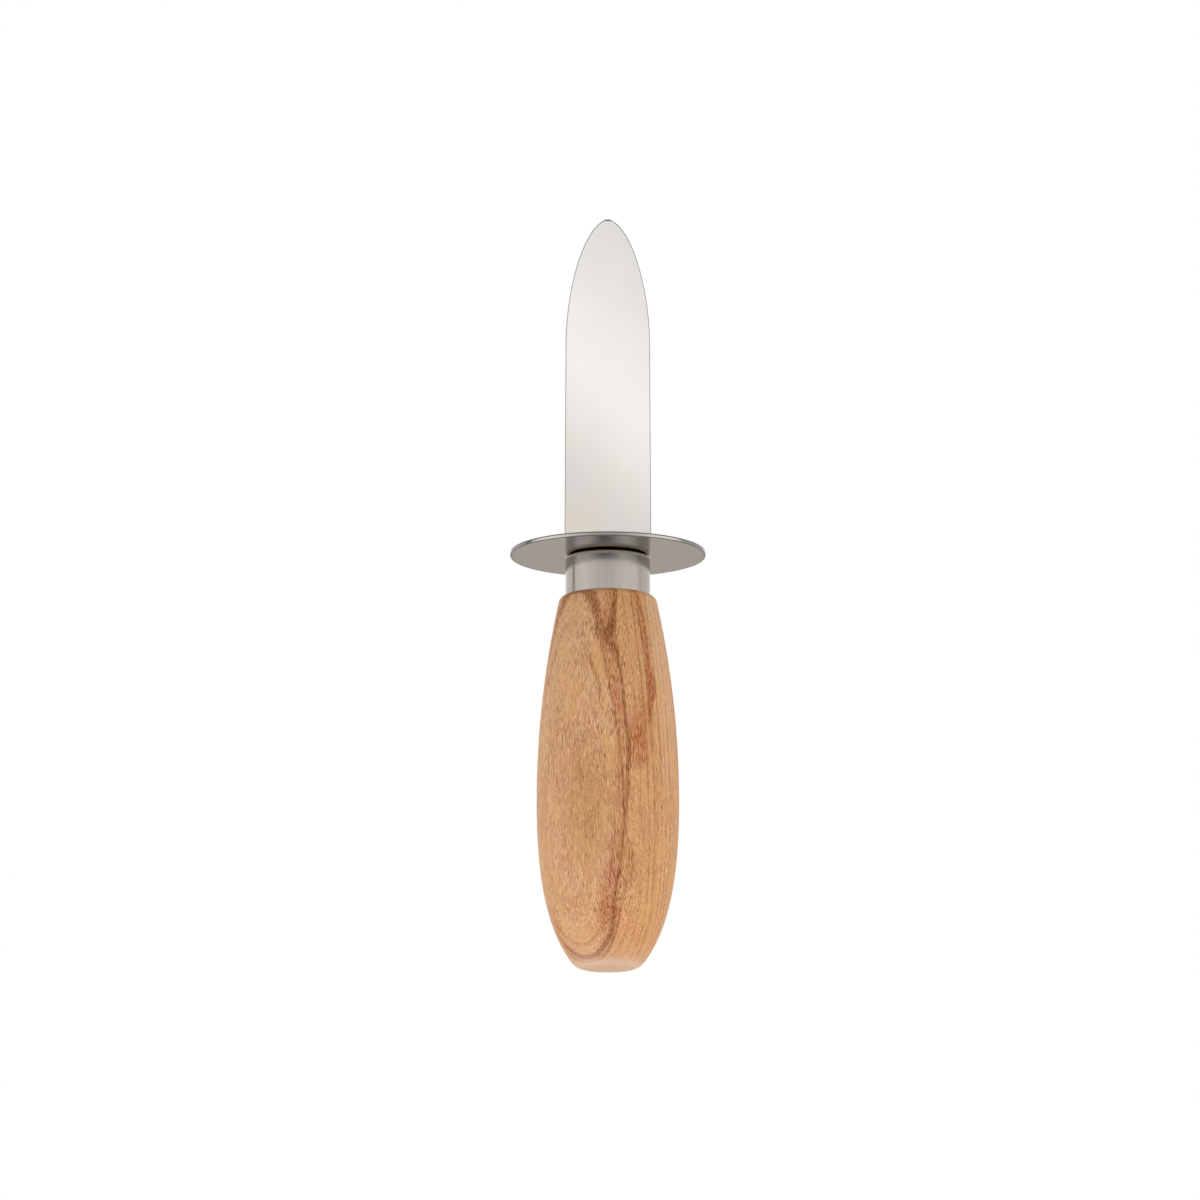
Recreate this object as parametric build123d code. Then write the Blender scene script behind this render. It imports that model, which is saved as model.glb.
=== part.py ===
from build123d import *
from math import cos, hypot, radians, sin, tan
import os

os.makedirs("parts", exist_ok=True)

# Oyster knife standing on its butt: millimetres, +Z from the butt to the blade's tip.
# The origin is the centre of the flat butt, and the blade's broad faces look along Y.

# Handle, turned from one piece of beech
handle_height = 76.6
butt_flat_radius = 4.65
butt_corner_radius = 3.4
butt_corner_turn = 53
butt_pull = 8.6
belly_radius = 14.45
belly_height = 34.4
belly_pull = 15.0
neck_radius = 10.0
neck_round = 1.1
neck_ledge = 0.15

# Ferrule, a drawn cap pressed over the handle's tenon
ferrule_radius = 8.65
ferrule_height = 8.5
ferrule_wall = 0.8
ferrule_corner_radius = 1.0
ferrule_seat_radius = 6.9
ferrule_crown_drop = 0.1

# Guard, a thin disc held between the blade's shoulders and the ferrule
guard_radius = 20.0
guard_thickness = 0.9
guard_rim_round = 0.2

# Blade, one plate with its tang
blade_length = 70.0
blade_thickness = 2.0
heel_half_width = 8.85
nose_half_width = 8.65
nose_length = 26.0
nose_pull = 9.3
tip_half_width = 0.4
tip_pull = 5.8
tip_spread = 67
edge_bevel = 0.3
tang_width = 8.0
tang_length = 52.0
tang_end_width = 3.0
tang_point_length = 7.0

# Bore drilled for the tang, and the resin that fills it
resin_film = 0.5
resin_below_tang = 1.5
drill_point_angle = 118

# Room for the tang in the guard and the ferrule
slot_clearance = 0.1

# Heights and radii that follow
guard_bottom = handle_height + ferrule_height
guard_top = guard_bottom + guard_thickness
tip_height = guard_top + blade_length
ferrule_crown = guard_bottom - ferrule_crown_drop
tenon_top = ferrule_crown - ferrule_wall
tenon_radius = ferrule_radius - ferrule_wall
tenon_corner = ferrule_corner_radius - ferrule_wall
tang_end = guard_top - tang_length
bore_radius = hypot(tang_width / 2, blade_thickness / 2) + resin_film
bore_floor = tang_end - resin_below_tang
bore_tip = bore_floor - bore_radius / tan(radians(drill_point_angle / 2))


def turned(outline):
    """Turn a closed outline, drawn as radius and height, about the knife's axis."""
    return revolve(Plane.XZ * make_face(outline), Axis.Z)


def tang_slot(bottom, top):
    """The hole that lets the tang through, between two heights."""
    width = tang_width + 2 * slot_clearance
    depth = blade_thickness + 2 * slot_clearance
    return Pos(0, 0, (bottom + top) / 2) * Box(width, depth, top - bottom)


def bore():
    """The drilled hole, open at the tenon's top, with the drill's cone at its floor."""
    return turned(
        Polyline(
            (0, bore_tip),
            (bore_radius, bore_floor),
            (bore_radius, tenon_top),
            (0, tenon_top),
            close=True,
        )
    )


def handle():
    """Barrel with a rounded butt and neck, a tenon for the ferrule and the blind bore."""
    turn = radians(butt_corner_turn)
    butt = Line((0, 0), (butt_flat_radius, 0))
    corner = CenterArc(
        (butt_flat_radius, butt_corner_radius), butt_corner_radius, -90, butt_corner_turn
    )
    lower = Bezier(
        corner @ 1,
        corner @ 1 + Vector(cos(turn), sin(turn)) * butt_pull,
        (belly_radius, belly_height - belly_pull),
        (belly_radius, belly_height),
    )
    upper = TangentArc(lower @ 1, (neck_radius, handle_height - neck_round), tangent=(0, 1))
    neck = TangentArc(upper @ 1, (ferrule_radius + neck_ledge, handle_height), tangent=upper % 1)
    tenon = Polyline(
        neck @ 1,
        (tenon_radius, handle_height),
        (tenon_radius, tenon_top - tenon_corner),
        (tenon_radius - tenon_corner, tenon_top),
        (0, tenon_top),
        (0, 0),
    )
    return turned(butt + corner + lower + upper + neck + tenon) - bore()


def ferrule():
    """Cap with a rounded shoulder: its low crown meets the guard only around the slot."""
    shoulder_radius = ferrule_radius - ferrule_corner_radius
    shoulder_height = ferrule_crown - ferrule_corner_radius
    outside = Polyline(
        (tenon_radius, handle_height),
        (ferrule_radius, handle_height),
        (ferrule_radius, shoulder_height),
    )
    shoulder = CenterArc((shoulder_radius, shoulder_height), ferrule_corner_radius, 0, 90)
    crown = Polyline(
        shoulder @ 1,
        (ferrule_seat_radius, guard_bottom),
        (0, guard_bottom),
        (0, tenon_top),
        (tenon_radius - tenon_corner, tenon_top),
    )
    inner_shoulder = CenterArc(
        (tenon_radius - tenon_corner, tenon_top - tenon_corner), tenon_corner, 0, 90
    )
    inside = Line((tenon_radius, tenon_top - tenon_corner), (tenon_radius, handle_height))
    cap = turned(outside + shoulder + crown + inner_shoulder + inside)
    return cap - tang_slot(tenon_top, guard_bottom)


def guard_disc():
    """Thin disc with a broken rim, slotted for the tang."""
    disc = Pos(0, 0, (guard_bottom + guard_top) / 2) * Cylinder(guard_radius, guard_thickness)
    disc = fillet(disc.edges(), guard_rim_round)
    return disc - tang_slot(guard_bottom, guard_top)


def blade_outline():
    """Face of the blade above the guard: straight sides that curve in to a blunt point."""
    nose_height = tip_height - nose_length
    narrowing = (heel_half_width - nose_half_width) / (blade_length - nose_length)
    spread = radians(tip_spread)
    side = Line((heel_half_width, guard_top), (nose_half_width, nose_height))
    nose = Bezier(
        side @ 1,
        (nose_half_width - narrowing * nose_pull, nose_height + nose_pull),
        (tip_half_width + tip_pull * sin(spread), tip_height - tip_pull * cos(spread)),
        (tip_half_width, tip_height),
    )
    right = side + nose
    left = mirror(right, Plane.YZ)
    tip = Line((-tip_half_width, tip_height), (tip_half_width, tip_height))
    heel = Line((-heel_half_width, guard_top), (heel_half_width, guard_top))
    return make_face(right + left + tip + heel)


def blade():
    """Plate with bevelled edges above the guard, and the tang that hangs below it."""
    plate = extrude(Plane.XZ * blade_outline(), blade_thickness / 2, both=True)
    flats = plate.faces().filter_by(Axis.Y)
    heel = plate.faces().sort_by(Axis.Z)[0]
    edges = [edge for edge in flats.edges() if edge not in heel.edges()]
    plate = chamfer(edges, edge_bevel)
    tang_face = make_face(
        Polyline(
            (-tang_width / 2, guard_top),
            (-tang_width / 2, tang_end + tang_point_length),
            (-tang_end_width / 2, tang_end),
            (tang_end_width / 2, tang_end),
            (tang_width / 2, tang_end + tang_point_length),
            (tang_width / 2, guard_top),
            close=True,
        )
    )
    tang = extrude(Plane.XZ * tang_face, blade_thickness / 2, both=True)
    return plate + tang


def tang_resin(blade_solid):
    """The casting that fills the bore round the tang."""
    return bore() - blade_solid


blade_solid = blade()
pieces = {
    "handle": handle(),
    "ferrule": ferrule(),
    "guard_disc": guard_disc(),
    "blade": blade_solid,
    "tang_resin": tang_resin(blade_solid),
}
for name, shape in pieces.items():
    print(name, "volume", round(shape.volume, 1), "mm3, solids", len(shape.solids()))
    export_step(shape, f"parts/{name}.step")
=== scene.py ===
import math

import bpy
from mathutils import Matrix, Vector
from mathutils.geometry import interpolate_bezier


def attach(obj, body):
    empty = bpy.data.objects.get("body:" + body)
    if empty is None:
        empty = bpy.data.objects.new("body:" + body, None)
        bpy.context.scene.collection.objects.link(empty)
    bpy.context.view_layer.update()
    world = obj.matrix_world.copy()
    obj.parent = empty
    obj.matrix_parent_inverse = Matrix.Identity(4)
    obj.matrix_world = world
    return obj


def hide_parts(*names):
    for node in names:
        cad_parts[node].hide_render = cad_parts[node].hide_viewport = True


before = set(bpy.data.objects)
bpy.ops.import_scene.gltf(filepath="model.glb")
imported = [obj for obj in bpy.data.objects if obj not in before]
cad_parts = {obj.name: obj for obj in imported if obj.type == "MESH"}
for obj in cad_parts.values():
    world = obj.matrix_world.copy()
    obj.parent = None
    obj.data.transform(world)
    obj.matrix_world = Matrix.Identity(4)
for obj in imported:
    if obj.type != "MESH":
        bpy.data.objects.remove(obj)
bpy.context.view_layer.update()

mm = 0.001  # the pieces' dictionaries hold millimetres and degrees
mergeDistance = 0.001  # mm
print("frame loaded", sorted(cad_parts))


# Small helpers for modelling

def clearSelection():
    if bpy.context.mode != "OBJECT":
        bpy.ops.object.mode_set(mode="OBJECT")
    bpy.ops.object.select_all(action="DESELECT")


def pickOnly(piece):
    clearSelection()
    piece.select_set(True)
    bpy.context.view_layer.objects.active = piece


def polar(centre, radius, angle):
    # the point at that distance and angle from the centre
    turn = math.radians(angle)
    return centre[0] + radius * math.cos(turn), centre[1] + radius * math.sin(turn)


def arcPoints(centre, radius, startAngle, endAngle, count):
    # points of an arc in the radius and height plane, without its first point
    turn = endAngle - startAngle
    return [polar(centre, radius, startAngle + turn * i / count) for i in range(1, count + 1)]


def curvePoints(start, startHandle, endHandle, end, count):
    # points of one Bezier stretch, without its first point
    corners = [Vector((x, z, 0)) for x, z in (start, startHandle, endHandle, end)]
    return [(p.x, p.y) for p in interpolate_bezier(*corners, count + 1)[1:]]


def tangentArc(start, direction, end, count):
    # an arc that leaves start along direction and reaches end, without its first point
    chord = Vector(end) - Vector(start)
    side = Vector((-direction[1], direction[0])).normalized()
    radius = chord.length_squared / (2 * chord.dot(side))
    centre = Vector(start) + side * radius
    first = math.degrees(math.atan2(start[1] - centre.y, start[0] - centre.x))
    last = math.degrees(math.atan2(end[1] - centre.y, end[0] - centre.x))
    if last - first > 180:
        last -= 360
    if first - last > 180:
        last += 360
    return arcPoints(centre, abs(radius), first, last, count)


def namePiece(name):
    # the new primitive takes its name, and all its edges are selected for editing
    piece = bpy.context.object
    piece.name = name
    piece.data.name = name
    bpy.ops.object.mode_set(mode="EDIT")
    bpy.ops.mesh.select_mode(type="EDGE")
    bpy.ops.mesh.select_all(action="SELECT")
    return piece


def extrudeThrough(stations, bothWays):
    # the selected face goes to each height and is resized there to its half-width
    half, height = stations[0]
    for nextHalf, nextHeight in stations[1:]:
        bpy.ops.mesh.extrude_region_move(
            TRANSFORM_OT_translate={"value": (0, 0, (nextHeight - height) * mm)}
        )
        grow = nextHalf / half
        bpy.ops.transform.resize(
            value=(grow, grow if bothWays else 1, 1), center_override=(0, 0, nextHeight * mm)
        )
        half, height = nextHalf, nextHeight
    bpy.ops.object.mode_set(mode="OBJECT")


def turnPiece(name, outline, segments):
    # a disc at the outline's first point is extruded through the rest of the outline
    clearSelection()
    radius, height = outline[0]
    bpy.ops.mesh.primitive_circle_add(
        vertices=segments, radius=radius * mm, location=(0, 0, height * mm), fill_type="NGON"
    )
    piece = namePiece(name)
    extrudeThrough(outline, True)
    return piece


def tidyMesh(piece, smoothAngle):
    # place into the mesh, doubles merged, faces outwards, smooth between sharp edges
    pickOnly(piece)
    bpy.ops.object.transform_apply(location=True, rotation=True, scale=True)
    bpy.ops.object.mode_set(mode="EDIT")
    bpy.ops.mesh.select_all(action="SELECT")
    bpy.ops.mesh.remove_doubles(threshold=mergeDistance * mm)
    bpy.ops.mesh.normals_make_consistent(inside=False)
    bpy.ops.object.mode_set(mode="OBJECT")
    bpy.ops.object.shade_smooth_by_angle(angle=math.radians(smoothAngle))


def cutSlot(piece, p):
    # a box cutter through the middle, applied and thrown away
    clearSelection()
    middle = (p["slotLow"] + p["slotHigh"]) / 2
    bpy.ops.mesh.primitive_cube_add(size=1, location=(0, 0, middle * mm))
    cutter = bpy.context.object
    cutter.scale = (p["slotWidth"] * mm, p["slotDepth"] * mm, (p["slotHigh"] - p["slotLow"]) * mm)
    pickOnly(piece)
    cut = piece.modifiers.new("slot", "BOOLEAN")
    cut.operation = "DIFFERENCE"
    cut.solver = "EXACT"
    cut.object = cutter
    bpy.ops.object.modifier_apply(modifier=cut.name)
    pickOnly(cutter)
    bpy.ops.object.delete()


def handOver(piece, node, material):
    # wide faces keep their own normals beside the narrow ones of a rounded edge
    pickOnly(piece)
    weighted = piece.modifiers.new("evenNormals", "WEIGHTED_NORMAL")
    weighted.keep_sharp = True
    bpy.ops.object.modifier_apply(modifier=weighted.name)
    # the piece stands for its CAD node and rides on the knife's one body
    piece.data.materials.clear()
    piece.data.materials.append(material)
    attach(piece, "root")
    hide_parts(node)
    print("piece ready", piece.name, len(piece.data.polygons), "faces")


# Small helpers for shader nodes

def feed(tree, socket, value):
    # another node's output is linked, anything else becomes the socket's own value
    if isinstance(value, bpy.types.NodeSocket):
        tree.links.new(value, socket)
    else:
        socket.default_value = value


def put(tree, kind, sockets=None, **settings):
    node = tree.nodes.new(kind)
    for key, value in settings.items():
        setattr(node, key, value)
    for key, value in (sockets or {}).items():
        feed(tree, node.inputs[key], value)
    return node


def calc(tree, operation, first, second=0.0, third=0.0, clamp=False):
    sockets = {0: first, 1: second, 2: third}
    return put(tree, "ShaderNodeMath", sockets, operation=operation, use_clamp=clamp).outputs[0]


def product(tree, first, *others):
    for other in others:
        first = calc(tree, "MULTIPLY", first, other)
    return first


def total(tree, first, *others):
    for other in others:
        first = calc(tree, "ADD", first, other)
    return first


def offset(tree, value, middle=0.5):
    return calc(tree, "SUBTRACT", value, middle)


def absolute(tree, value):
    return calc(tree, "ABSOLUTE", value)


def ease(tree, value, low, high, start=0.0, end=1.0):
    # smooth step from start to end as value goes from low to high
    sockets = {"Value": value, "From Min": low, "From Max": high, "To Min": start, "To Max": end}
    node = put(tree, "ShaderNodeMapRange", sockets, interpolation_type="SMOOTHSTEP")
    return node.outputs["Result"]


def easeBeyond(tree, value, mark, low, high, *levels):
    # the same step, with low and high measured from a mark on the piece
    return ease(tree, value, mark + low, mark + high, *levels)


def blendColors(tree, amount, first, second, mode="MIX"):
    node = put(tree, "ShaderNodeMix", data_type="RGBA", blend_type=mode)
    for name, value in (("Factor_Float", amount), ("A_Color", first), ("B_Color", second)):
        feed(tree, next(s for s in node.inputs if s.identifier == name), value)
    return next(s for s in node.outputs if s.identifier == "Result_Color")


def axesOf(tree, vector):
    return put(tree, "ShaderNodeSeparateXYZ", {0: vector}).outputs


def vectorOf(tree, **axes):
    return put(tree, "ShaderNodeCombineXYZ", axes).outputs[0]


def facingOf(tree):
    # the surface normal on the piece's own axes
    return axesOf(tree, put(tree, "ShaderNodeTexCoord").outputs["Normal"])


def stretched(tree, vector, featureSize):
    # coordinates divided by the size that one feature has along each axis
    scale = tuple(1 / s for s in featureSize)
    return put(tree, "ShaderNodeVectorMath", {0: vector, 1: scale}, operation="MULTIPLY").outputs[0]


def noise(tree, vector, featureSize, detail=2.0, rough=0.5):
    sockets = {
        "Vector": stretched(tree, vector, featureSize),
        "Scale": 1.0,
        "Detail": detail,
        "Roughness": rough,
    }
    return put(tree, "ShaderNodeTexNoise", sockets).outputs["Fac"]


def scaled(tree, color, amount):
    return put(tree, "ShaderNodeVectorMath", {0: color, 3: amount}, operation="SCALE").outputs[0]


def addBump(tree, shader, height, depth):
    bump = put(tree, "ShaderNodeBump", {"Strength": 1.0, "Distance": depth * mm, "Height": height})
    tree.links.new(bump.outputs["Normal"], shader.inputs["Normal"])


def rampThrough(tree, value, low, high, stops, interpolation="LINEAR"):
    # stops are (place between low and high, color)
    span = {"Value": value, "From Min": low, "From Max": high}
    share = put(tree, "ShaderNodeMapRange", span).outputs["Result"]
    ramp = put(tree, "ShaderNodeValToRGB", {"Fac": share})
    ramp.color_ramp.interpolation = interpolation
    elements = ramp.color_ramp.elements
    for index, (spot, color) in enumerate(stops):
        position = (spot - low) / (high - low)
        if index == 0:
            element = elements[0]
        elif index == len(stops) - 1:
            element = elements[-1]
        else:
            element = elements.new(position)
        element.position = position
        element.color = (*color, 1)
    return ramp.outputs["Color"]


def levelRamp(tree, value, low, high, stops):
    return rampThrough(tree, value, low, high, [(spot, (level,) * 3) for spot, level in stops])


def emptyTree(holder):
    # the node tree of a material or a world, cleared
    holder.use_nodes = True
    holder.node_tree.nodes.clear()
    return holder.node_tree


def startMaterial(name):
    # gives the position on the piece's own axes too, in millimetres
    material = bpy.data.materials.new(name)
    tree = emptyTree(material)
    shader = put(tree, "ShaderNodeBsdfPrincipled")
    put(tree, "ShaderNodeOutputMaterial", {"Surface": shader.outputs["BSDF"]})
    position = scaled(tree, put(tree, "ShaderNodeTexCoord").outputs["Object"], 1 / mm)
    return material, tree, shader, position


def startGroup(name, inputs, outputs):
    group = bpy.data.node_groups.new(name, "ShaderNodeTree")
    for direction, sockets in (("INPUT", inputs), ("OUTPUT", outputs)):
        for label, kind in sockets.items():
            group.interface.new_socket(label, in_out=direction, socket_type="NodeSocket" + kind)
    return group, put(group, "NodeGroupInput").outputs, put(group, "NodeGroupOutput").inputs


# Steel finishes: fine grinding lines and hazy handling marks share one group

def satinGroup():
    group, given, result = startGroup(
        "satinSteel",
        {"Lines": "Vector", "Haze": "Vector", "Line Strength": "Float", "Haze Strength": "Float"},
        {"Tone": "Float", "Height": "Float"},
    )
    fine, cloud = (
        put(group, "ShaderNodeTexNoise", {"Vector": given[name], "Scale": 1.0, "Detail": 3.0})
        for name in ("Lines", "Haze")
    )
    lines = product(group, offset(group, fine.outputs["Fac"]), given["Line Strength"])
    haze = product(group, offset(group, cloud.outputs["Fac"]), given["Haze Strength"])
    feed(group, result["Tone"], total(group, lines, haze))
    feed(group, result["Height"], fine.outputs["Fac"])
    return group


satinSteel = satinGroup()


def steelMaterial(name, look):
    material, tree, shader, position = startMaterial(name)
    marks = put(tree, "ShaderNodeGroup", {
        "Lines": stretched(tree, position, look["lineSize"]),
        "Haze": stretched(tree, position, look["hazeSize"]),
        "Line Strength": look["lineStrength"],
        "Haze Strength": look["hazeStrength"],
    }, node_tree=satinSteel).outputs
    brightness = calc(tree, "ADD", 1.0, marks["Tone"])
    rough = calc(tree, "MULTIPLY_ADD", marks["Tone"], -look["roughSwing"], look["rough"])
    feed(tree, shader.inputs["Base Color"], scaled(tree, look["tint"], brightness))
    feed(tree, shader.inputs["Metallic"], 1.0)
    feed(tree, shader.inputs["Roughness"], rough)
    addBump(tree, shader, marks["Height"], look["bumpDepth"])
    return material, tree, shader, position


# Handle: turned beech, from the butt up to the neck, then the hidden tenon and bore

handle = {
    # outline: radii and heights, and how far the belly's curve pulls at its two ends
    "buttFlat": 4.65,
    "buttCorner": 3.4,
    "buttTurn": 53,
    "buttPull": 8.6,
    "belly": 14.45,
    "bellyHeight": 34.4,
    "bellyPull": 15.0,
    "neck": 10.0,
    "neckRound": 1.1,
    "neckLedge": 8.8,
    "height": 76.6,
    "tenon": 7.85,
    "tenonTop": 84.2,
    "tenonCorner": 0.2,
    "bore": 4.62,
    "boreFloor": 32.5,
    "boreTip": 29.72,
    "boreTipRadius": 0.0924,
    "segments": 128,
    "cornerSteps": 8,
    "bellySteps": 30,
    "neckSteps": 6,
    "smoothAngle": 32,

    # growth rings: they lean and bow along the handle, and turn a little at the butt
    "ringAzimuth": 40.5,
    "pithDistance": 40.0,
    "lean": -0.021,
    "bow": 0.00164,
    "bowHeight": 40.0,
    "wobble": 0.44,
    "ringGap": 1.5,
    "ringShift": 1.6,
    "layerFray": 0.45,

    # noises: size of a feature across the grain, through the rings and along the grain, then
    # detail and roughness; uneven and layer only vary through the rings, by their first size
    "drift": ((6, 6, 14), 2.0),
    "fibre": ((0.14, 0.18, 1.8), 1.0),
    "thread": ((0.17, 0.22, 7.0), 2.0, 0.6),
    "speck": ((0.2, 0.22, 0.42), 0.0),
    "uneven": ((2.2, 1, 1), 1.0),
    "layer": ((0.4, 1, 1), 2.0, 0.6),
    "cloud": ((3, 5, 9), 2.0),
    "crowding": ((5, 5, 14), 1.0),
    "mood": ((3.0, 3.0, 9.0), 1.0),
    "patch": ((2.6, 3.0, 6.0), 2.0),
    "endSpeckle": ((0.25, 0.25, 0.25), 2.0, 0.7),

    # scattered dashes: size, reach and scarcity
    "dash": ((0.21, 0.8, 2.0), 0.45, 2.6),
    "glint": ((0.27, 1.0, 1.6), 0.42, 2.0),
    "glintShift": (17.3, 5.1, 8.7),
    "dashEdge": (0.4, 1.0, 1.0, 0.0),

    # smooth steps: from, to, and the values there where they aren't 0 and 1
    "twist": (0.0, 20.0, 0.09, 0.0),
    "crisp": (0.3, 0.7),
    "fray": (2.0, 16.0, 0.15, 0.45),
    "softer": (4.0, 13.0, 0.78, 1.0),
    "sideRings": (6.0, 11.0, 1.0, 0.22),
    "buttRings": (3.0, 14.0, 0.75, 0.22),
    "lateStart": (0.6, 0.93),
    "lateEnd": (0.94, 1.0, 1.0, 0.0),
    "calm": (0.4, 1.0, 1.0, 0.3),
    "crowded": (0.35, 0.6, 0.4, 1.1),
    "lively": (0.35, 0.65, 0.55, 1.15),
    "quietButt": (3.0, 18.0, 0.75, 1.0),
    "buttGlow": (2.0, 26.0, 1.0, 0.0),
    "flatEdge": (0.25, 1.15, 1.0, 0.0),
    "paleDepth": (9.0, 12.0),
    # the cream is partly paler outer wood, partly a painted highlight along the handle's side
    "creamInside": (3.4, 1.8),
    "creamOutside": (-6.0, -1.0),
    "creamHeight": (18.0, 62.0, 0.02, 0.28),
    "rosyPatch": (0.52, 0.72, 0.0, 0.55),
    "honeyPatch": (0.48, 0.3, 0.0, 0.6),
    "streaksShow": (-9.0, -2.5),
    "redGrit": (0.3, 1.1, 1.45, 0.45),
    "brownGrit": (0.3, 1.1, 1.35, 0.62),
    "endFacing": (-0.98, -0.4, 0.92, 0.0),

    # the tone from dark to pale, and how each part moves it: its middle, its weight
    "tone": 0.6,
    "toneParts": {
        "fibres": (0.0, 0.66),
        "threads": (0.0, 0.34),
        "speck": (0.5, 0.26),
        "layers": (0.0, 0.8),
        "cloud": (0.5, 0.1),
        "buttGlow": (0.0, 0.06),
        "lateWood": (0.2, -0.45),
        "dash": (0.04, -0.8),
        "glint": (0.08, 0.2),
        "flatFace": (0.0, -0.24),
    },
    "softHeight": 29.0,
    "quiet": (0.6, 0.4),
    "flatCentre": (5.5, 13.0, 32.0),
    "flatReach": (7.0, 12.0, 16.0),
    "flatHoney": 0.22,
    "gritThread": 0.6,
    "endRings": 0.9,

    "dark": (0.25, 0.085, 0.016, 1),
    "pale": (0.725, 0.395, 0.183, 1),
    "paleFlat": (0.74, 0.437, 0.237, 1),
    # cream: partly paler wood, partly a painted highlight
    "creamAndSheen": (0.8, 0.55, 0.36, 1),
    "rosy": (0.57, 0.25, 0.12, 1),
    "honey": (0.64, 0.34, 0.125, 1),
    "heartBrown": (0.15, 0.036, 0.005, 1),
    "heartRed": (0.37, 0.08, 0.015, 1),
    "endGrain": (0.8, 0.66, 0.53, 1),
    "endPore": (0.58, 0.4, 0.28, 1),

    "gloss": 0.2,
    "rough": 0.52,
    "roughSwing": 0.12,
    "relief": 0.02,
    "dashRelief": -0.8,
    "fibreRelief": 0.5,

    # heartwood streaks: share of red, then height, ring depth, half-width and strength at stops,
    # between the streakHeights; streakMost bounds the last three
    "streakFall": -0.7,
    "streakHeights": (-5.0, 90.0),
    "streakMost": (20.0, 2.0, 1.0),
    "streaks": [
        (0.4, [
            (-2, 10.3, 0.2, 0.7), (3, 10.75, 0.27, 1.0), (8, 11.05, 0.25, 1.0),
            (13, 11.35, 0.22, 0.9), (17, 11.05, 0.25, 1.0), (22, 10.8, 0.2, 1.0),
            (28, 10.35, 0.18, 1.0), (34, 10.3, 0.17, 0.95), (40, 10.28, 0.16, 0.9),
            (50, 10.5, 0.14, 0.8), (58, 10.72, 0.13, 0.8), (64, 10.9, 0.15, 0.75),
            (67, 10.93, 0.3, 1.0), (70, 10.8, 0.3, 0.95), (76, 10.85, 0.38, 1.0),
            (82, 10.9, 0.38, 1.0),
        ]),
        (0.8, [
            (-2, 10.5, 0.3, 0.0), (4.5, 11.2, 0.35, 0.1), (8, 11.6, 0.8, 0.65),
            (12, 11.8, 1.0, 0.75), (20, 11.4, 0.9, 0.52), (27, 11.0, 0.9, 0.34),
            (34, 10.5, 0.85, 0.35), (42, 10.1, 0.75, 0.34), (52, 9.9, 0.75, 0.4),
            (60, 10.2, 0.8, 0.4), (66, 10.1, 0.85, 0.75), (70, 9.8, 0.75, 0.65),
            (74, 9.4, 0.6, 0.4), (82, 9.0, 0.6, 0.3),
        ]),
        (0.35, [
            (-2, 9.8, 0.14, 0.7), (3, 10.1, 0.18, 0.75), (6, 10.4, 0.18, 0.75),
            (12, 10.4, 0.3, 0.4), (18, 9.4, 1.2, 0.32), (24, 10.1, 0.4, 0.4),
            (29, 10.05, 0.22, 0.7), (34, 9.6, 0.26, 0.85), (38, 9.4, 0.26, 0.8),
            (43, 9.2, 0.28, 1.0), (47, 9.2, 0.24, 0.8), (54, 9.1, 0.22, 0.75),
            (60, 9.35, 0.26, 0.85), (63, 9.6, 0.45, 1.0), (66, 10.1, 0.72, 1.0),
            (69, 9.5, 0.5, 1.0), (72, 9.0, 0.34, 1.0), (76, 8.4, 0.3, 0.95),
            (82, 8.0, 0.3, 0.9),
        ]),
        (0.8, [
            (46, 5.2, 0.5, 0.0), (49, 5.0, 0.5, 0.75), (52, 4.6, 0.55, 0.85),
            (55, 3.9, 1.05, 1.0), (58, 3.8, 0.95, 1.0), (61, 4.1, 0.5, 0.9),
            (65, 3.9, 0.38, 0.9), (68, 3.95, 0.38, 0.95), (72, 4.3, 0.38, 0.8),
            (76, 5.0, 0.45, 0.7), (82, 5.4, 0.45, 0.6),
        ]),
        (0.9, [
            (58, 4.3, 0.8, 0.0), (62, 4.3, 0.9, 0.2), (68, 4.4, 1.0, 0.3),
            (76, 5.0, 1.1, 0.3), (82, 5.3, 1.1, 0.25),
        ]),
        (0.5, [
            (62, 4.9, 0.25, 0.0), (65, 4.9, 0.25, 0.5), (70, 5.1, 0.25, 0.6),
            (76, 5.35, 0.25, 0.5), (82, 5.5, 0.25, 0.5),
        ]),
        (0.9, [
            (38, 7.5, 1.5, 0.0), (41, 7.5, 1.7, 0.6), (44, 7.5, 1.8, 0.85),
            (47, 7.3, 1.7, 0.6), (50, 6.4, 1.3, 0.4), (54, 6.0, 0.8, 0.25),
            (57, 6.0, 0.6, 0.0),
        ]),
        (0.4, [
            (51, 12.0, 0.12, 0.0), (55, 11.7, 0.13, 0.45), (60, 12.0, 0.13, 0.45),
            (66, 12.2, 0.12, 0.0),
        ]),
    ],
}


def handleOutline(h):
    cornerCentre = (h["buttFlat"], h["buttCorner"])
    outline = [(h["buttFlat"], 0)]
    outline += arcPoints(cornerCentre, h["buttCorner"], -90, h["buttTurn"] - 90, h["cornerSteps"])
    start = outline[-1]
    leaving = polar(start, h["buttPull"], h["buttTurn"])
    belly = (h["belly"], h["bellyHeight"])
    arriving = (h["belly"], h["bellyHeight"] - h["bellyPull"])
    outline += curvePoints(start, leaving, arriving, belly, h["bellySteps"])
    neck = (h["neck"], h["height"] - h["neckRound"])
    outline += tangentArc(belly, (0, 1), neck, h["bellySteps"])
    lastRun = Vector(outline[-1]) - Vector(outline[-2])
    outline += tangentArc(neck, lastRun, (h["neckLedge"], h["height"]), h["neckSteps"])
    outline += [
        (h["tenon"], h["height"]),
        (h["tenon"], h["tenonTop"] - h["tenonCorner"]),
        (h["tenon"] - h["tenonCorner"], h["tenonTop"]),
        (h["bore"], h["tenonTop"]),
        (h["bore"], h["boreFloor"]),
        (h["boreTipRadius"], h["boreTip"]),
    ]
    return outline


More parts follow.
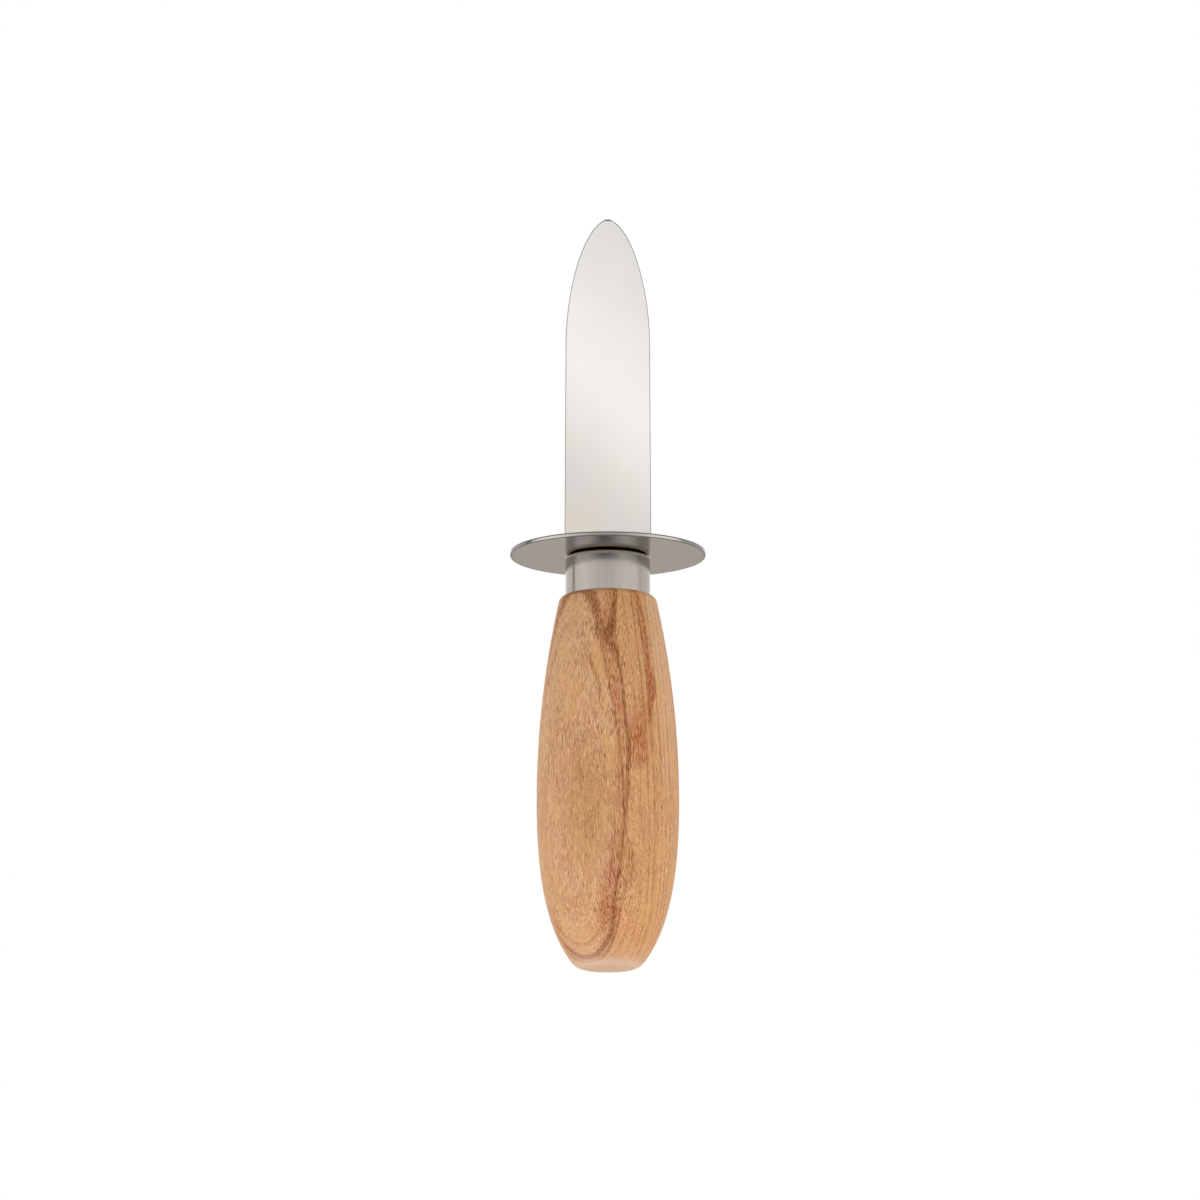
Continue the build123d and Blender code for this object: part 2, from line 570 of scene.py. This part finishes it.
def dashGroup(h):
    # scattered spindle shapes, each with a strength of its own
    group, given, result = startGroup(
        "scatteredDashes",
        {"Vector": "Vector", "Reach": "Float", "Scarcity": "Float"},
        {"Mask": "Float"},
    )
    cells = put(group, "ShaderNodeTexVoronoi", {"Vector": given["Vector"], "Scale": 1.0}, feature="F1")
    away = calc(group, "DIVIDE", cells.outputs["Distance"], given["Reach"])
    shape = ease(group, away, *h["dashEdge"])
    shade = axesOf(group, cells.outputs["Color"])["X"]
    strength = calc(group, "POWER", shade, given["Scarcity"])
    feed(group, result["Mask"], product(group, shape, strength))
    return group


def streakGroup(h):
    # a flat-topped band round one ring depth
    group, given, result = startGroup(
        "heartStreak",
        {"Depth": "Float", "Middle": "Float", "Half Width": "Float", "Strength": "Float"},
        {"Mask": "Float"},
    )
    away = calc(group, "DIVIDE", offset(group, given["Depth"], given["Middle"]), given["Half Width"])
    square = product(group, away, away)
    band = calc(group, "EXPONENT", product(group, square, square, h["streakFall"]))
    feed(group, result["Mask"], product(group, band, given["Strength"]))
    return group


def streakPath(tree, h, height, stops):
    # middle, half-width and strength by height, carried through a ramp as shares of the most
    most = h["streakMost"]
    shares = [(stop[0], tuple(v / m for v, m in zip(stop[1:], most))) for stop in stops]
    ramp = rampThrough(tree, height, *h["streakHeights"], shares, "CARDINAL")
    return [product(tree, share, m) for share, m in zip(axesOf(tree, ramp), most)]


def grainPlaces(tree, h, position):
    # where a point lies in the wood: across the grain, depth of its ring, height; the functions
    # that follow add the wood's other fields to these
    angle = math.radians(h["ringAzimuth"])
    turned = put(
        tree, "ShaderNodeVectorRotate", {"Vector": position, "Angle": angle}, rotation_type="Z_AXIS"
    ).outputs[0]
    axes = axesOf(tree, turned)
    across, height = axes["X"], axes["Z"]
    outward = calc(tree, "SUBTRACT", h["pithDistance"], axes["Y"])
    squares = total(tree, product(tree, across, across), product(tree, outward, outward))
    rise = offset(tree, height, h["bowHeight"])
    bend = total(tree, product(tree, rise, h["lean"]), product(tree, rise, rise, h["bow"]))
    drift = product(tree, offset(tree, noise(tree, turned, *h["drift"])), h["wobble"])
    turning = product(tree, across, ease(tree, height, *h["twist"]))
    fromPith = offset(tree, calc(tree, "SQRT", squares), h["pithDistance"])
    depth = total(tree, fromPith, bend, drift, turning)
    grain = vectorOf(tree, X=across, Y=depth, Z=height)
    return {"across": across, "depth": depth, "height": height, "grain": grain}


def addRings(tree, h, w):
    # fibres fray the edges of the rings, and rings show less where the surface runs along them
    depth, height = w["depth"], w["height"]
    w["fibre"] = ease(tree, noise(tree, w["grain"], *h["fibre"]), *h["crisp"])
    w["thread"] = noise(tree, w["grain"], *h["thread"])
    fray = ease(tree, height, *h["fray"])
    w["frayed"] = calc(tree, "MULTIPLY_ADD", offset(tree, w["thread"]), fray, depth)
    w["softer"] = ease(tree, absolute(tree, offset(tree, height, h["softHeight"])), *h["softer"])
    side = ease(tree, absolute(tree, depth), *h["sideRings"])
    shown = calc(tree, "MAXIMUM", side, ease(tree, height, *h["buttRings"]))
    w["shown"] = product(tree, shown, product(tree, w["softer"], w["softer"]))

    # dark late wood ends each ring, on top of layers without a rhythm
    uneven = noise(tree, vectorOf(tree, X=depth), *h["uneven"])
    ring = calc(tree, "DIVIDE", w["frayed"], h["ringGap"])
    saw = calc(tree, "FRACT", total(tree, ring, product(tree, uneven, h["ringShift"])))
    late = product(tree, ease(tree, saw, *h["lateStart"]), ease(tree, saw, *h["lateEnd"]))
    w["lateWood"] = product(tree, late, w["shown"])
    blur = product(tree, fray, h["layerFray"])
    thin = calc(tree, "MULTIPLY_ADD", offset(tree, w["fibre"]), blur, depth)
    layers = noise(tree, vectorOf(tree, X=thin), *h["layer"])
    w["layers"] = product(tree, offset(tree, layers), w["shown"])


def addDashes(tree, h, w):
    # rays cut end-on make short dark dashes, with pale glints between them
    scatteredDashes = dashGroup(h)
    shifted = put(
        tree, "ShaderNodeVectorMath", {0: w["grain"], 1: h["glintShift"]}, operation="ADD"
    ).outputs[0]
    for name, vector in (("dash", w["grain"]), ("glint", shifted)):
        featureSize, reach, scarcity = h[name]
        w[name] = put(tree, "ShaderNodeGroup", {
            "Vector": stretched(tree, vector, featureSize), "Reach": reach, "Scarcity": scarcity,
        }, node_tree=scatteredDashes).outputs["Mask"]
    w["calm"] = ease(tree, w["shown"], *h["calm"])
    crowded = ease(tree, noise(tree, w["grain"], *h["crowding"]), *h["crowded"])
    w["dash"] = product(tree, w["dash"], w["calm"], crowded)


def addTone(tree, h, w):
    # one tone gathers the parts; the fibres are livelier in some places than in others
    grain, height = w["grain"], w["height"]
    lively = ease(tree, noise(tree, grain, *h["mood"]), *h["lively"])
    quiet = calc(tree, "MULTIPLY_ADD", w["calm"], *h["quiet"])
    quiet = product(tree, quiet, ease(tree, height, *h["quietButt"]), w["softer"])
    w["fibres"] = product(tree, offset(tree, w["fibre"]), product(tree, lively, quiet))
    w["threads"] = product(tree, offset(tree, ease(tree, w["thread"], *h["crisp"])), quiet)
    w["speck"] = ease(tree, noise(tree, grain, *h["speck"]), *h["crisp"])
    w["cloud"] = noise(tree, grain, *h["cloud"])
    w["buttGlow"] = ease(tree, height, *h["buttGlow"])
    centre = tuple(c / r for c, r in zip(h["flatCentre"], h["flatReach"]))
    away = put(
        tree, "ShaderNodeVectorMath", {0: stretched(tree, grain, h["flatReach"]), 1: centre},
        operation="DISTANCE",
    ).outputs["Value"]
    w["flatFace"] = ease(tree, away, *h["flatEdge"])
    tone = h["tone"]
    for name, (middle, weight) in h["toneParts"].items():
        tone = total(tree, tone, product(tree, offset(tree, w[name], middle), weight))
    w["tone"] = calc(tree, "ADD", tone, 0.0, clamp=True)


def woodColor(tree, h, w):
    # dark to pale by tone, creamier in the outer rings, partly paler wood and partly a painted
    # highlight along that side, with rosy and honey patches
    depth = w["depth"]
    pale = blendColors(tree, ease(tree, depth, *h["paleDepth"]), h["pale"], h["paleFlat"])
    color = blendColors(tree, w["tone"], h["dark"], pale)
    creamAndSheen = product(tree, ease(tree, depth, *h["creamInside"]), ease(tree, depth, *h["creamOutside"]))
    creamAndSheen = product(tree, creamAndSheen, ease(tree, w["height"], *h["creamHeight"]))
    patch = noise(tree, w["grain"], *h["patch"])
    color = blendColors(tree, creamAndSheen, color, h["creamAndSheen"])
    color = blendColors(tree, ease(tree, patch, *h["rosyPatch"]), color, h["rosy"])
    color = blendColors(tree, ease(tree, patch, *h["honeyPatch"]), color, h["honey"])
    return blendColors(tree, product(tree, w["flatFace"], h["flatHoney"]), color, h["honey"])


def addHeartwood(tree, h, w, color):
    # streaks keep to their ring's depth, and fade where that ring comes round the left side
    heartStreak = streakGroup(h)
    shown = ease(tree, w["across"], *h["streaksShow"])
    grit = total(tree, w["fibre"], product(tree, w["thread"], h["gritThread"]))
    brown, red = 0.0, 0.0
    for redShare, stops in h["streaks"]:
        middle, halfWidth, strength = streakPath(tree, h, w["height"], stops)
        mask = put(tree, "ShaderNodeGroup", {
            "Depth": w["frayed"], "Middle": middle, "Half Width": halfWidth, "Strength": strength,
        }, node_tree=heartStreak).outputs["Mask"]
        brown = calc(tree, "MAXIMUM", brown, product(tree, mask, 1.0 - redShare))
        red = calc(tree, "MAXIMUM", red, product(tree, mask, redShare))
    for mask, gritName, colorName in ((red, "redGrit", "heartRed"), (brown, "brownGrit", "heartBrown")):
        textured = product(tree, shown, ease(tree, grit, *h[gritName]))
        amount = calc(tree, "MULTIPLY", mask, textured, clamp=True)
        color = blendColors(tree, amount, color, h[colorName])
    return color


def addEndGrain(tree, h, w, color, position):
    # the butt shows end grain: paler, speckled
    speckle = noise(tree, position, *h["endSpeckle"])
    speckle = calc(tree, "MULTIPLY_ADD", w["layers"], h["endRings"], speckle)
    butt = blendColors(tree, ease(tree, speckle, *h["crisp"]), h["endPore"], h["endGrain"])
    return blendColors(tree, ease(tree, facingOf(tree)["Z"], *h["endFacing"]), color, butt)


def beechMaterial(h):
    material, tree, shader, position = startMaterial("turnedBeech")
    w = grainPlaces(tree, h, position)
    addRings(tree, h, w)
    addDashes(tree, h, w)
    addTone(tree, h, w)
    color = addHeartwood(tree, h, w, woodColor(tree, h, w))
    feed(tree, shader.inputs["Base Color"], addEndGrain(tree, h, w, color, position))
    rough = calc(tree, "MULTIPLY_ADD", w["thread"], h["roughSwing"], h["rough"])
    feed(tree, shader.inputs["Roughness"], rough)
    feed(tree, shader.inputs["Specular IOR Level"], h["gloss"])
    dashRelief = product(tree, w["dash"], h["dashRelief"])
    fibreRelief = product(tree, w["fibre"], h["fibreRelief"])
    addBump(tree, shader, total(tree, dashRelief, fibreRelief), h["relief"])
    return material


handlePiece = turnPiece("handle_turned", handleOutline(handle), handle["segments"])
tidyMesh(handlePiece, handle["smoothAngle"])
handOver(handlePiece, "handle", beechMaterial(handle))


# Ferrule: drawn cap over the tenon; its crown falls away outside the seat

ferrule = {
    "radius": 8.65,
    "wall": 0.8,
    "bottom": 76.6,
    "top": 85.1,
    "crownDrop": 0.1,
    "corner": 1.0,
    "seat": 6.9,
    "lipRound": 0.1,
    "centre": 0.4,
    "slotWidth": 8.2,
    "slotDepth": 2.2,
    "slotLow": 80.6,
    "slotHigh": 86.1,
    "segments": 128,
    "cornerSteps": 12,
    "insideSteps": 5,
    "lipSteps": 4,
    "smoothAngle": 32,

    "tint": (0.41, 0.368, 0.33),
    "rough": 0.17,
    "roughSwing": 0.4,
    "lineSize": (0.25, 0.25, 9.0),
    "lineStrength": 0.16,
    "hazeSize": (4, 4, 6),
    "hazeStrength": 0.12,
    "bumpDepth": 0.001,
}


def ferruleOutline(f):
    inner = f["radius"] - f["wall"]
    crown = f["top"] - f["crownDrop"]
    ceiling = crown - f["wall"]
    corner, lip = f["corner"], f["lipRound"]
    innerCorner = corner - f["wall"]
    outline = [(f["centre"], f["top"]), (f["seat"], f["top"]), (f["radius"] - corner, crown)]
    outline += arcPoints((f["radius"] - corner, crown - corner), corner, 90, 0, f["cornerSteps"])
    outline += [(f["radius"], f["bottom"] + lip)]
    outline += arcPoints((f["radius"] - lip, f["bottom"] + lip), lip, 0, -90, f["lipSteps"])
    outline += [(inner, f["bottom"]), (inner, ceiling - innerCorner)]
    insideCentre = (inner - innerCorner, ceiling - innerCorner)
    outline += arcPoints(insideCentre, innerCorner, 0, 90, f["insideSteps"])
    return outline + [(f["centre"], ceiling)]


ferrulePiece = turnPiece("ferrule_cap", ferruleOutline(ferrule), ferrule["segments"])
tidyMesh(ferrulePiece, ferrule["smoothAngle"])
cutSlot(ferrulePiece, ferrule)
tidyMesh(ferrulePiece, ferrule["smoothAngle"])
handOver(ferrulePiece, "ferrule", steelMaterial("ferruleSteel", ferrule)[0])


# Guard: stamped disc with a softened rim

guard = {
    "radius": 19.99,
    "bottom": 85.1,
    "top": 86.0,
    "rimRound": 0.2,
    "centre": 0.4,
    "slotWidth": 8.2,
    "slotDepth": 2.2,
    "slotLow": 84.1,
    "slotHigh": 87.0,
    "segments": 192,
    "rimSteps": 4,
    "smoothAngle": 32,

    "tint": (0.42, 0.387, 0.352),
    # painted light on the rim: a painted highlight, with painted shade at its front and ends, under it,
    # on its corners and along its top edge
    "rim": (0.53, 0.505, 0.47, 1),
    "rimFrontShade": (0.3, 0.28, 0.265, 1),
    "rimEndShade": (0.26, 0.247, 0.231, 1),
    "underRimShade": (0.2, 0.19, 0.175, 1),
    "rimLineShade": (0.1, 0.095, 0.09, 1),
    "rough": 0.12,
    "roughSwing": 0.3,
    "lineSize": (12.0, 0.3, 1.0),
    "lineStrength": 0.14,
    "hazeSize": (6, 6, 6),
    "hazeStrength": 0.14,
    "bumpDepth": 0.0006,

    # smooth steps over the surface's tilt, the distance aside, the radius counted from the rim
    # and the height counted from the top
    "rimTilt": (0.1, 0.4, 1.0, 0.0),
    "rimAside": (1.0, 11.0),
    "rimEnds": (12.8, 16.5),
    "underRimShadeStep": (-0.75, -0.3, 0.0, 0.6),
    "topEdgeShadeStep": (-0.34, -0.22),
    "cornerStart": (0.15, 0.5),
    "cornerEnd": (0.9, 0.99, 1.0, 0.0),
    "cornerShade": 0.9,
}


def guardOutline(g):
    rim = g["rimRound"]
    edge = g["radius"] - rim
    outline = [(g["centre"], g["bottom"]), (edge, g["bottom"])]
    outline += arcPoints((edge, g["bottom"] + rim), rim, -90, 0, g["rimSteps"])
    outline += [(g["radius"], g["top"] - rim)]
    outline += arcPoints((edge, g["top"] - rim), rim, 0, 90, g["rimSteps"])
    return outline + [(g["centre"], g["top"])]


def guardMaterial(g):
    # painted light: the rim gets a painted highlight between painted shade at its front and at its
    # ends, and painted shade lines darken its corners, the underside beside it and its top edge
    material, tree, shader, position = steelMaterial("guardSteel", g)
    axes = axesOf(tree, position)
    aside = absolute(tree, axes["X"])
    tilt = absolute(tree, facingOf(tree)["Z"])
    rim = ease(tree, tilt, *g["rimTilt"])
    paintedRimLight = blendColors(tree, ease(tree, aside, *g["rimAside"]), g["rimFrontShade"], g["rim"])
    paintedRimLight = blendColors(tree, ease(tree, aside, *g["rimEnds"]), paintedRimLight, g["rimEndShade"])

    # painted shade on the underside next to the rim, along the rim's top edge and on its rounded
    # corners
    flat = vectorOf(tree, X=axes["X"], Y=axes["Y"])
    reach = put(tree, "ShaderNodeVectorMath", {0: flat}, operation="LENGTH").outputs["Value"]
    underRimShade = easeBeyond(tree, reach, g["radius"], *g["underRimShadeStep"])
    topEdgeShade = product(tree, rim, easeBeyond(tree, axes["Z"], g["top"], *g["topEdgeShadeStep"]))
    corner = product(
        tree, ease(tree, tilt, *g["cornerStart"]), ease(tree, tilt, *g["cornerEnd"]), g["cornerShade"]
    )
    color = shader.inputs["Base Color"].links[0].from_socket
    for amount, shade in (
        (underRimShade, g["underRimShade"]),
        (rim, paintedRimLight),
        (topEdgeShade, g["rimLineShade"]),
        (corner, g["rimLineShade"]),
    ):
        color = blendColors(tree, amount, color, shade)
    feed(tree, shader.inputs["Base Color"], color)
    return material


guardPiece = turnPiece("guard_round", guardOutline(guard), guard["segments"])
tidyMesh(guardPiece, guard["smoothAngle"])
cutSlot(guardPiece, guard)
tidyMesh(guardPiece, guard["smoothAngle"])
handOver(guardPiece, "guard_disc", guardMaterial(guard))


# Blade: one plate, extruded section by section from the tang's point to the tip

blade = {
    "thickness": 2.0,
    "tangEnd": 34.0,
    "tangEndHalf": 1.5,
    "tangPoint": 7.0,
    "tangHalf": 4.0,
    "heel": 86.0,
    "heelHalf": 8.85,
    "noseHeight": 130.0,
    "noseHalf": 8.65,
    "nosePull": 9.3,
    "noseSteps": 36,
    "tip": 156.0,
    "tipHalf": 0.4,
    "tipPull": 5.8,
    "tipSpread": 67,
    "bevel": 0.3,
    "bevelSegments": 3,
    "smoothAngle": 40,

    # which edges the bevel takes: sharp ones of a broad face that rise from just under the heel
    "sharpAngle": 60,
    "broadFacing": 0.9,
    "heelSlack": 0.01,
    "leastRise": 0.1,

    "tint": (0.93, 0.9, 0.875),
    "rough": 0.24,
    "roughSwing": 0.3,
    "lineSize": (0.16, 1.0, 12.0),
    "lineStrength": 0.03,
    "hazeSize": (7, 9, 12),
    "hazeStrength": 0.07,
    "blotchDetail": 1.0,
    "bumpDepth": 0.0006,
    "warm": (1.0, 0.965, 0.885, 1),
    # painted shade: darker rounded edges and a dark tip; the seam line is partly a dark joint, partly
    # painted shade
    "edge": (0.28, 0.27, 0.25, 1),
    "tipShade": (0.06, 0.055, 0.045, 1),
    "jointGrimeAndShade": (0.16, 0.15, 0.14, 1),

    # smooth steps over the slanted height, the blotches' noise, the surface's tilt, and heights
    # from the heel and from the tip
    # a painted reflection: a bright slanting band, with painted shade below and above it
    "bandSlope": 0.8,
    "bandLow": (90.0, 122.0, 0.775, 1.0),
    "bandHigh": (117.0, 162.0, 1.0, 0.82),
    "warmLow": (84.0, 122.0, 0.9, 0.0),
    "blotches": (0.4, 0.65, 0.4, 1.2),
    "edgeTilt": (0.8, 0.985, 1.0, 0.0),
    "jointGrimeAndShadeStep": (0.04, 0.14, 0.85, 0.0),
    "tipShadeStep": (-0.6, -0.2, 0.0, 0.9),
}


def bladeStations(b):
    # half-widths and heights, with two at the heel, where the shoulders step out
    narrowing = (b["heelHalf"] - b["noseHalf"]) / (b["noseHeight"] - b["heel"])
    spread = math.radians(b["tipSpread"])
    out, down = b["tipPull"] * math.sin(spread), b["tipPull"] * math.cos(spread)
    stations = [
        (b["tangEndHalf"], b["tangEnd"]),
        (b["tangHalf"], b["tangEnd"] + b["tangPoint"]),
        (b["tangHalf"], b["heel"]),
        (b["heelHalf"], b["heel"]),
        (b["noseHalf"], b["noseHeight"]),
    ]
    leaving = (b["noseHalf"] - narrowing * b["nosePull"], b["noseHeight"] + b["nosePull"])
    arriving = (b["tipHalf"] + out, b["tip"] - down)
    tip = (b["tipHalf"], b["tip"])
    return stations + curvePoints(stations[-1], leaving, arriving, tip, b["noseSteps"])


def extrudeBlade(name, b):
    clearSelection()
    stations = bladeStations(b)
    half, height = stations[0]
    bpy.ops.mesh.primitive_plane_add(size=1, location=(0, 0, height * mm))
    piece = namePiece(name)
    section = (2 * half * mm, b["thickness"] * mm, 1)
    bpy.ops.transform.resize(value=section, center_override=(0, 0, height * mm))
    extrudeThrough(stations, False)
    return piece


def bevelOutline(piece, b):
    # the long edges round both broad faces, from the heel to the tip
    pickOnly(piece)
    bpy.ops.object.mode_set(mode="EDIT")
    bpy.ops.mesh.select_mode(type="EDGE")
    bpy.ops.mesh.select_all(action="DESELECT")
    bpy.ops.object.mode_set(mode="OBJECT")
    mesh = piece.data
    faceNormals = {}
    for face in mesh.polygons:
        for key in face.edge_keys:
            faceNormals.setdefault(key, []).append(face.normal)
    floor = (b["heel"] - b["heelSlack"]) * mm
    for edge in mesh.edges:
        normals = faceNormals.get(tuple(sorted(edge.vertices)), [])
        heights = [mesh.vertices[v].co.z for v in edge.vertices]
        sharp = len(normals) == 2 and normals[0].angle(normals[1]) > math.radians(b["sharpAngle"])
        broad = any(abs(n.y) > b["broadFacing"] for n in normals)
        raised = min(heights) > floor and max(heights) > floor + b["leastRise"] * mm
        edge.select = sharp and broad and raised
    bpy.ops.object.mode_set(mode="EDIT")
    bpy.ops.mesh.bevel(
        offset=b["bevel"] * mm, segments=b["bevelSegments"], profile=0.5, affect="EDGES"
    )
    bpy.ops.object.mode_set(mode="OBJECT")


def bladeMaterial(b):
    material, tree, shader, position = steelMaterial("bladeSteel", b)
    axes = axesOf(tree, position)

    # painted reflection: the colour is brightest in a slanting band, with painted shade towards the
    # guard and the tip
    slant = calc(tree, "MULTIPLY_ADD", axes["X"], b["bandSlope"], axes["Z"])
    band = product(tree, ease(tree, slant, *b["bandLow"]), ease(tree, slant, *b["bandHigh"]))
    haze = noise(tree, position, b["hazeSize"], b["blotchDetail"])
    blotches = ease(tree, haze, *b["blotches"])
    warm = product(tree, ease(tree, slant, *b["warmLow"]), blotches)
    color = scaled(tree, shader.inputs["Base Color"].links[0].from_socket, band)
    color = blendColors(tree, warm, color, b["warm"], "MULTIPLY")

    # painted shade: the rounded edges and the very tip are painted darker, and the seam on the guard
    # gets a dark line, partly a dark joint and partly painted shade
    tilt = absolute(tree, facingOf(tree)["Y"])
    for amount, shade in (
        (ease(tree, tilt, *b["edgeTilt"]), b["edge"]),
        (easeBeyond(tree, axes["Z"], b["heel"], *b["jointGrimeAndShadeStep"]), b["jointGrimeAndShade"]),
        (easeBeyond(tree, axes["Z"], b["tip"], *b["tipShadeStep"]), b["tipShade"]),
    ):
        color = blendColors(tree, amount, color, shade)
    feed(tree, shader.inputs["Base Color"], color)
    return material


bladePiece = extrudeBlade("blade_plate", blade)
tidyMesh(bladePiece, blade["smoothAngle"])
bevelOutline(bladePiece, blade)
tidyMesh(bladePiece, blade["smoothAngle"])
handOver(bladePiece, "blade", bladeMaterial(blade))


# Tang resin: the CAD node stays, hidden in the bore, with a cast resin finish

resin = {
    "clear": (0.46, 0.33, 0.15, 1),
    "cloudy": (0.34, 0.22, 0.09, 1),
    "cloud": ((2, 2, 3), 3.0),
    "rough": 0.2,
    "roughSwing": 0.15,
}


def resinMaterial(r):
    material, tree, shader, position = startMaterial("castResin")
    cloud = noise(tree, position, *r["cloud"])
    rough = calc(tree, "MULTIPLY_ADD", cloud, r["roughSwing"], r["rough"])
    feed(tree, shader.inputs["Base Color"], blendColors(tree, cloud, r["clear"], r["cloudy"]))
    feed(tree, shader.inputs["Roughness"], rough)
    return material


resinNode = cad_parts["tang_resin"]
resinNode.data.materials.clear()
resinNode.data.materials.append(resinMaterial(resin))
print("resin finished")


# Studio, in metres: a pale glowing table, a bright room, one soft lamp overhead

studio = {
    "tableRadius": 0.34,
    "tableFade": 0.2,
    "tableDrop": 0.0002,
    "tableSegments": 96,
    "tableColor": (0.8, 0.8, 0.8, 1),
    "tableGlow": 0.2,
    "unseenGlow": 0.3,
    "lampSize": 0.5,
    "lampHeight": 0.75,
    "lampPower": 1.2,
    "glowColor": (1, 1, 1, 1),
}

room = {
    # levels by height (sine of the elevation) and by azimuth above the horizon, then colors by
    # azimuth below it; 0 is towards the camera, whose dark body shows below the horizon
    "heights": (-1.0, 1.0),
    "azimuths": (-180.0, 180.0),
    "seenColor": (1, 1, 1, 1),
    "byHeight": [(-1.0, 0.9), (-0.5, 0.95), (-0.3, 1.0), (0.4, 1.0), (0.75, 0.62), (1.0, 0.45)],
    "above": [
        (-180, 1.2), (-150, 1.0), (-126, 1.05), (-113, 1.02), (-110, 0.4), (-104, 0.4),
        (-101, 1.12), (-68, 1.26), (-44, 1.12), (-28, 1.06), (-5, 0.98), (10, 1.0), (30, 1.1),
        (45, 1.18), (70, 1.22), (92, 1.18), (96, 0.8), (100, 0.8), (103, 1.0), (150, 0.94),
        (180, 1.2),
    ],
    "below": [
        (-180, (0.575, 0.535, 0.49)), (-140, (0.56, 0.525, 0.48)), (-107, (0.57, 0.59, 0.66)),
        (-90, (1.0, 1.02, 1.18)), (-62, (1.03, 1.05, 1.14)), (-50, (0.95, 1.0, 1.07)),
        (-39, (0.63, 0.66, 0.74)), (-27, (0.41, 0.43, 0.48)), (-16, (0.17, 0.2, 0.23)),
        (-5, (0.22, 0.26, 0.3)), (5, (0.27, 0.33, 0.38)), (16, (0.43, 0.5, 0.57)),
        (27, (0.7, 0.79, 0.85)), (38, (0.92, 1.0, 1.07)), (50, (1.03, 1.12, 1.19)),
        (62, (0.88, 0.97, 1.04)), (76, (0.78, 0.88, 0.93)), (90, (0.5, 0.55, 0.57)),
        (107, (0.47, 0.52, 0.53)), (140, (0.56, 0.525, 0.48)), (180, (0.575, 0.535, 0.49)),
    ],
    "horizon": (-0.08, 0.04),
    "steep": (0.45, 0.8, 1.0, 0.0),
}


def tableMaterial(s):
    material = bpy.data.materials.new("paleTable")
    tree = emptyTree(material)
    paint = put(tree, "ShaderNodeBsdfDiffuse", {"Color": s["tableColor"]}).outputs[0]
    spot = put(tree, "ShaderNodeTexCoord").outputs["Object"]
    away = put(tree, "ShaderNodeVectorMath", {0: spot}, operation="LENGTH").outputs["Value"]
    # the knife gets more light from the table than the camera sees
    seen = put(tree, "ShaderNodeLightPath").outputs["Is Camera Ray"]
    strength = calc(tree, "MULTIPLY_ADD", seen, -s["unseenGlow"], s["tableGlow"] + s["unseenGlow"])
    emission = put(tree, "ShaderNodeEmission", {"Color": s["glowColor"], "Strength": strength})
    glow = emission.outputs[0]
    lit = put(tree, "ShaderNodeAddShader", {0: paint, 1: glow}).outputs[0]
    clear = put(tree, "ShaderNodeBsdfTransparent").outputs[0]
    faded = ease(tree, away, s["tableFade"], s["tableRadius"])
    under = put(tree, "ShaderNodeNewGeometry").outputs["Backfacing"]
    hidden = calc(tree, "MAXIMUM", faded, under)
    mixed = put(tree, "ShaderNodeMixShader", {0: hidden, 1: lit, 2: clear}).outputs[0]
    put(tree, "ShaderNodeOutputMaterial", {"Surface": mixed})
    return material


def roomWorld(r):
    world = bpy.data.worlds.new("brightRoom")
    bpy.context.scene.world = world
    tree = emptyTree(world)
    axes = axesOf(tree, put(tree, "ShaderNodeTexCoord").outputs["Generated"])
    up = axes["Z"]
    around = calc(tree, "ARCTAN2", axes["X"], product(tree, axes["Y"], -1.0))
    azimuth = calc(tree, "DEGREES", around)
    above = levelRamp(tree, azimuth, *r["azimuths"], r["above"])
    below = rampThrough(tree, azimuth, *r["azimuths"], r["below"])
    walls = blendColors(tree, ease(tree, up, *r["horizon"]), below, above)
    level = ease(tree, absolute(tree, up), *r["steep"])
    byHeight = levelRamp(tree, up, *r["heights"], r["byHeight"])
    shaped = blendColors(tree, level, byHeight, walls, "MULTIPLY")
    seen = put(tree, "ShaderNodeLightPath").outputs["Is Camera Ray"]
    color = blendColors(tree, seen, shaped, r["seenColor"])
    background = put(tree, "ShaderNodeBackground", {"Color": color, "Strength": 1.0})
    put(tree, "ShaderNodeOutputWorld", {"Surface": background.outputs[0]})


clearSelection()
bpy.ops.mesh.primitive_circle_add(
    vertices=studio["tableSegments"], radius=studio["tableRadius"], fill_type="NGON",
    location=(0, 0, -studio["tableDrop"]),
)
table = bpy.context.object
table.name = "pale_table"
table.data.materials.append(tableMaterial(studio))

clearSelection()
bpy.ops.object.light_add(type="AREA", location=(0, 0, studio["lampHeight"]))
lamp = bpy.context.object
lamp.name = "overhead_softbox"
lamp.data.size = studio["lampSize"]
lamp.data.energy = studio["lampPower"]

roomWorld(room)
print("studio ready")


# Camera: low, looking up at the guard's underside, as in the photo; in metres and degrees,
# with the lens and the sensor in millimetres

camera = {
    "distance": 1.5,
    "lookUp": 11.925,
    "aim": (-0.0016, 0, 0.07602),
    "lens": 220.76,
    "sensor": 36,
    "farthest": 20,
}

clearSelection()
lookUp = math.radians(camera["lookUp"])
forward = Vector((0, math.cos(lookUp), math.sin(lookUp)))
bpy.ops.object.camera_add(location=Vector(camera["aim"]) - forward * camera["distance"])
eye = bpy.context.object
eye.name = "photo_camera"
eye.rotation_mode = "QUATERNION"
eye.rotation_quaternion = forward.to_track_quat("-Z", "Y")
eye.data.lens = camera["lens"]
eye.data.sensor_width = camera["sensor"]
eye.data.clip_end = camera["farthest"]
bpy.context.scene.camera = eye
bpy.context.scene.view_settings.view_transform = "Standard"
print("camera ready")
